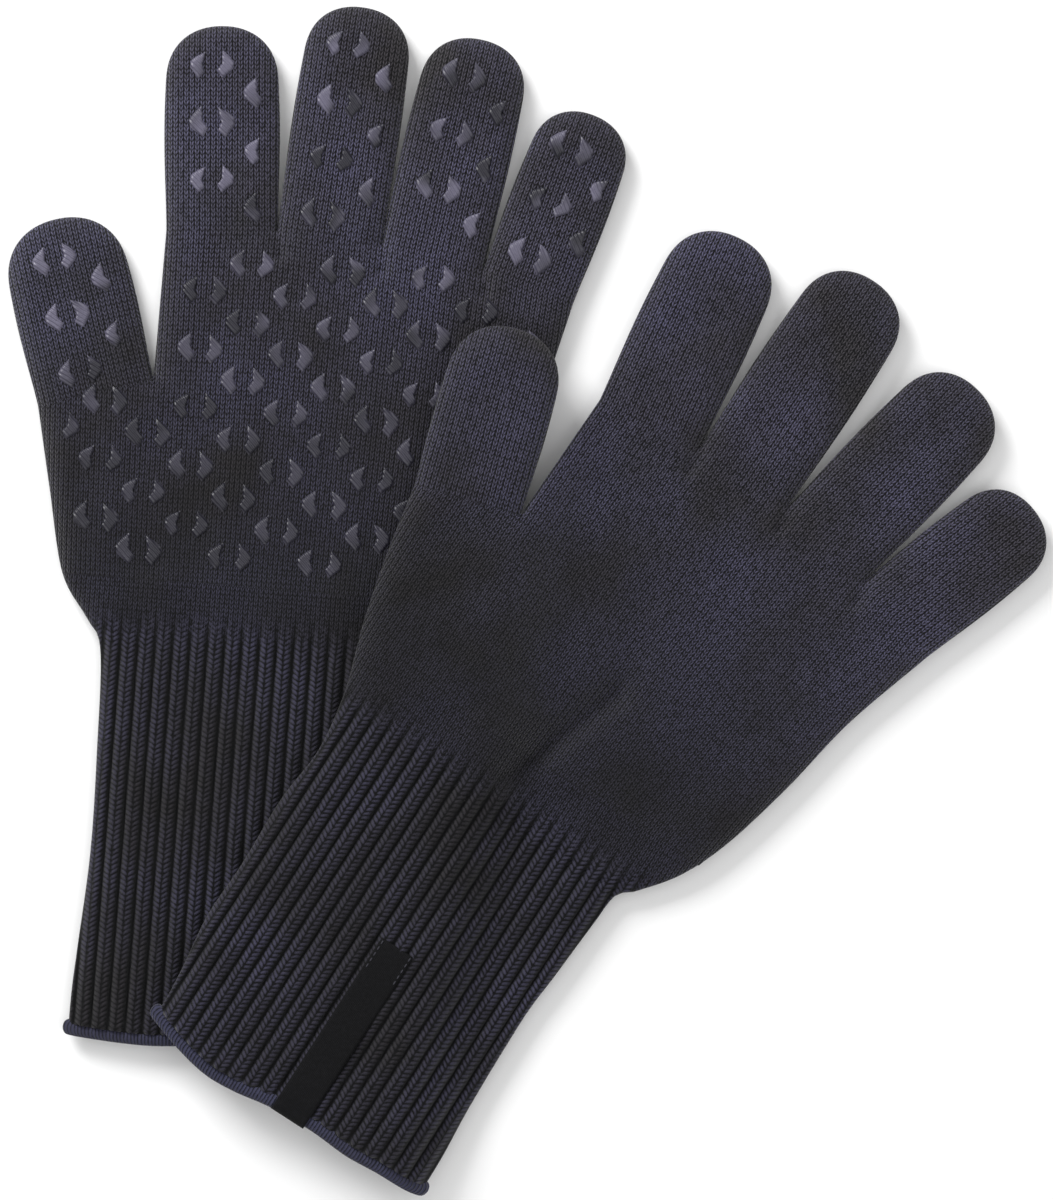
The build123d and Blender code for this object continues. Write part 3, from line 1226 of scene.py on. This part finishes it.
@dataclass
class Label(GlovePiece):
    """Bare woven tape folded over the hem, and the thread that holds it."""

    wide: float = 12.2
    long: float = 83.0
    at: float = 4.6
    top: float = -56.5
    hem: Hem | None = None

    def _path(self) -> np.ndarray:
        """The tape's way along the cuff, round the hem and inside.

        Returns:
            Polyline of distance along the glove and height off its mid surface.
        """
        crown = CUFF_THICK / 2
        y = float(self.hem.cuff.foot(np.array([self.at]))[0]) - 1.3
        roll = self.hem.radius + 0.35
        lift = self.hem.half_height
        turns = [(y + roll * math.cos(t), lift + roll * math.sin(t) * 0.85)
                 for t in np.radians((70, 100, 135, 180, 225, 262))]
        return curve_through([
            (self.top, crown + 0.75), (self.top - 3, crown + 0.95), (self.top - 30, crown + 0.95),
            (y + 9, crown + 0.95), (y + 4, crown + 0.9), *turns, (y + 5, 1.2), (y + 13, 1.2)], 10)

    def build(self) -> bpy.types.Object:
        """Build the tape.

        Returns:
            The finished piece.
        """
        path = self._path()

        def place(a: np.ndarray, b: np.ndarray) -> tuple[np.ndarray, np.ndarray]:
            """Lay grid shares on the tape.

            Args:
                a: Shares across.
                b: Shares along.

            Returns:
                Points and UVs.
            """
            on = walk(path, b)
            x = self.at + (a - 0.5) * self.wide
            world = self.plan.to_world(np.column_stack([x, on[:, 0]]))
            curl = 0.18 * (2 * np.abs(a - 0.5)) ** 6
            z = self.plan.mid(world) + on[:, 1] - curl * (on[:, 1] > 3)
            return np.column_stack([world, z]), np.column_stack([x, b * self.long])

        bm = bmesh.new()
        add_patch(bm, 14, 120, place)
        piece = finish_mesh(bm, "right_label_tape", self.finishes.tape)
        thicken(piece, 0.45, 0.0)
        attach(piece, "right_hand")
        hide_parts("right_cuff_label")
        return piece

    def stitches(self) -> bpy.types.Object:
        """Build the stitches at the tape's free end.

        Returns:
            The finished piece.
        """
        bm = bmesh.new()
        for side in (-1, 1):
            for i in range(5):
                x, y = self.at + side * (self.wide / 2 - 0.9), self.top - 1.2 - i * 2.2
                world = self.plan.to_world(np.array([(x, y)]))
                z = float(self.plan.mid(world)[0]) + CUFF_THICK / 2 + 1.2
                made = bmesh.ops.create_uvsphere(bm, u_segments=10, v_segments=6, radius=1.0)
                bmesh.ops.scale(bm, verts=made["verts"], vec=Vector((0.25, 0.75, 0.2)) * MM)
                turn = Vector((0, 0, 1)), -math.radians(self.plan.tilt)
                for vert in made["verts"]:
                    vert.co.rotate(Quaternion(*turn))
                    vert.co += Vector((world[0][0], world[0][1], z)) * MM
        piece = finish_mesh(bm, "right_label_thread", self.finishes.thread)
        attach(piece, "right_hand")
        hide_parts("right_label_stitches")
        return piece


@dataclass
class Glove:
    """One whole glove."""

    plan: GlovePlan
    finishes: Wardrobe

    def build(self) -> int:
        """Build every piece.

        Returns:
            How many pieces were made.
        """
        parts = (self.plan, self.finishes)
        grips = Grips(*parts)
        made = [Hand(*parts).build(), grips.build(None)]
        for name in self.plan.stalls:
            made += [Stall(*parts, name=name).build(), grips.build(name)]
        cuff = Cuff(*parts)
        hem = Hem(*parts, cuff=cuff)
        made += [cuff.build(), hem.build()]
        if not self.plan.palm_up:
            label = Label(*parts, hem=hem)
            made += [label.build(), label.stitches()]
        return len(made)


# ---------------------------------------------------------------- the studio
@dataclass
class Studio:
    """White table, soft light and a camera straight above."""

    width: float = 341.2
    height: float = 388.8
    centre: tuple[float, float] = (-1.93, -1.03)
    distance: float = 1.7
    level: float = 8.0

    def build(self, finish: bpy.types.Material) -> None:
        """Set up floor, lights, camera and colour.

        Args:
            finish: Floor material.
        """
        bm = bmesh.new()
        bmesh.ops.create_grid(bm, x_segments=1, y_segments=1, size=1.5)
        floor = finish_mesh(bm, "table", finish)
        self._lamp("key", (-0.85, 1.15, 0.95), 0.8, 31.0)
        self._lamp("fill", (0.9, -0.5, 1.4), 1.6, 7.0)
        self._lamp("top", (0.0, 0.0, 1.9), 2.2, 11.5)
        world = bpy.context.scene.world or bpy.data.worlds.new("studio")
        bpy.context.scene.world = world
        world.use_nodes = True
        world.node_tree.nodes["Background"].inputs[0].default_value = (1, 1, 1, 1)
        world.node_tree.nodes["Background"].inputs[1].default_value = 0.42
        data = bpy.data.cameras.new("camera")
        data.sensor_fit = "VERTICAL"
        data.sensor_height = 24.0
        data.lens = 24.0 * (self.distance - self.level * MM) / (self.height * MM)
        data.clip_end = 20.0
        data.dof.use_dof = False
        camera = bpy.data.objects.new("camera", data)
        camera.location = (self.centre[0] * MM, self.centre[1] * MM, self.distance)
        bpy.context.collection.objects.link(camera)
        bpy.context.scene.camera = camera
        bpy.context.scene.view_settings.view_transform = "Standard"

    @staticmethod
    def _lamp(name: str, at: tuple[float, float, float], size: float, power: float) -> None:
        """Hang one soft lamp aimed at the gloves.

        Args:
            name: Lamp name.
            at: Place in metres.
            size: Width in metres.
            power: Watts.
        """
        data = bpy.data.lights.new(name, "AREA")
        data.size = size
        data.energy = power
        lamp = bpy.data.objects.new(name, data)
        lamp.location = at
        lamp.rotation_euler = Vector(at).to_track_quat("Z", "Y").to_euler()
        bpy.context.collection.objects.link(lamp)


def left_plan() -> GlovePlan:
    """The left-hand glove, palm up underneath.

    Returns:
        Its plan.
    """
    stalls = {"thumb": StallCut(38.4, 57.8, -17.5), "index": StallCut(36.1, 66.3, -4.4),
              "middle": StallCut(34.0, 75.7, 4.0), "ring": StallCut(34.0, 72.6, 8.6),
              "little": StallCut(31.2, 59.6, 16.4)}
    return GlovePlan(
        side="left", wrist=(-85.68, -15.64), tilt=4.5, root=(-43.6, 131.6), web=(-44.0, 83.0),
        stalls=stalls, ball=[(-59.5, 4.0), (-68.5, 18.0), (-75.0, 46.0)],
        heel=[(57.5, 1.0), (66.0, 12.0), (73.5, 29.0), (79.5, 55.0), (81.7, 83.0)],
        cuff_left=[(-55.0, -145.0), (-55.0, -120.0), (-54.2, -104.0), (-52.4, -72.0),
                   (-52.8, -40.0), (-54.3, -6.0)],
        cuff_right=[(53.0, -145.0), (52.0, -120.0), (52.0, -90.0), (51.0, -56.0), (51.5, -38.0),
                    (53.8, -6.0)],
        cuff_long=128.0, palm_up=True,
        hem_wave=[(-60, 1.5), (-50, 0.2), (-30, -0.8), (-10, 0.3), (15, -0.4), (40, 0.2), (60, 1.0)],
        creases=[Crease((-62, 16), (-38, 22), 0.7, 5.0), Crease((-40, 60), (-30, 92), 0.5, 6.0),
                 Crease((-10, 40), (30, 34), 0.4, 6.0)])


def right_plan() -> GlovePlan:
    """The right-hand glove, back up on top.

    Returns:
        Its plan.
    """
    stalls = {"thumb": StallCut(35.6, 57.5, -16.8), "index": StallCut(36.0, 67.0, -7.6),
              "middle": StallCut(34.5, 76.3, 0.5), "ring": StallCut(34.5, 70.0, 11.2),
              "little": StallCut(32.0, 57.4, 18.7)}
    return GlovePlan(
        side="right", wrist=(-16.38, -62.94), tilt=33.0, root=(-37.0, 127.0), web=(-38.0, 81.6),
        stalls=stalls, ball=[(-57.8, 13.0), (-62.0, 26.0), (-67.5, 48.0)],
        heel=[(59.5, -0.4), (69.0, 12.2), (76.2, 29.2), (82.6, 54.9), (87.9, 83.2)],
        cuff_left=[(-49.5, -132.0), (-49.0, -115.0), (-50.0, -102.0), (-52.5, -83.0),
                   (-52.2, -63.0), (-53.0, -38.0), (-51.5, -18.0), (-54.2, 1.0)],
        cuff_right=[(54.0, -132.0), (53.9, -108.0), (52.4, -86.0), (51.5, -54.0), (52.5, -38.0),
                    (53.8, -17.0), (54.8, -5.0)],
        cuff_long=116.3, palm_up=False,
        hem_wave=[(-60, 4.0), (-51, 1.8), (-37, -2.4), (-25, -4.6), (-14, -4.0), (-2, -2.0),
                  (13, -1.2), (27, -1.9), (39, -1.1), (51, -1.0), (60, 1.0)],
        creases=[Crease((5, 10), (19, 50), 3.8, 5.0), Crease((19, 52), (11, 78), 1.6, 7.0),
                 Crease((-18, 22), (-12, 38), 1.3, 6.0), Crease((47, 26), (58, 40), 2.0, 8.0),
                 Crease((-4, 24), (6, 55), -1.0, 7.0), Crease((34, 22), (40, 60), -0.9, 9.0)])


def main() -> None:
    """Build the pair and the studio around it."""
    logging.basicConfig(level=logging.INFO)
    finishes = Wardrobe.make()
    for plan in (left_plan(), right_plan()):
        log.info("%s glove: %d pieces", plan.side, Glove(plan, finishes).build())
    Studio().build(Plain("white_table", "#f4f4f4", 0.9).make())


if __name__ == "__main__":
    main()
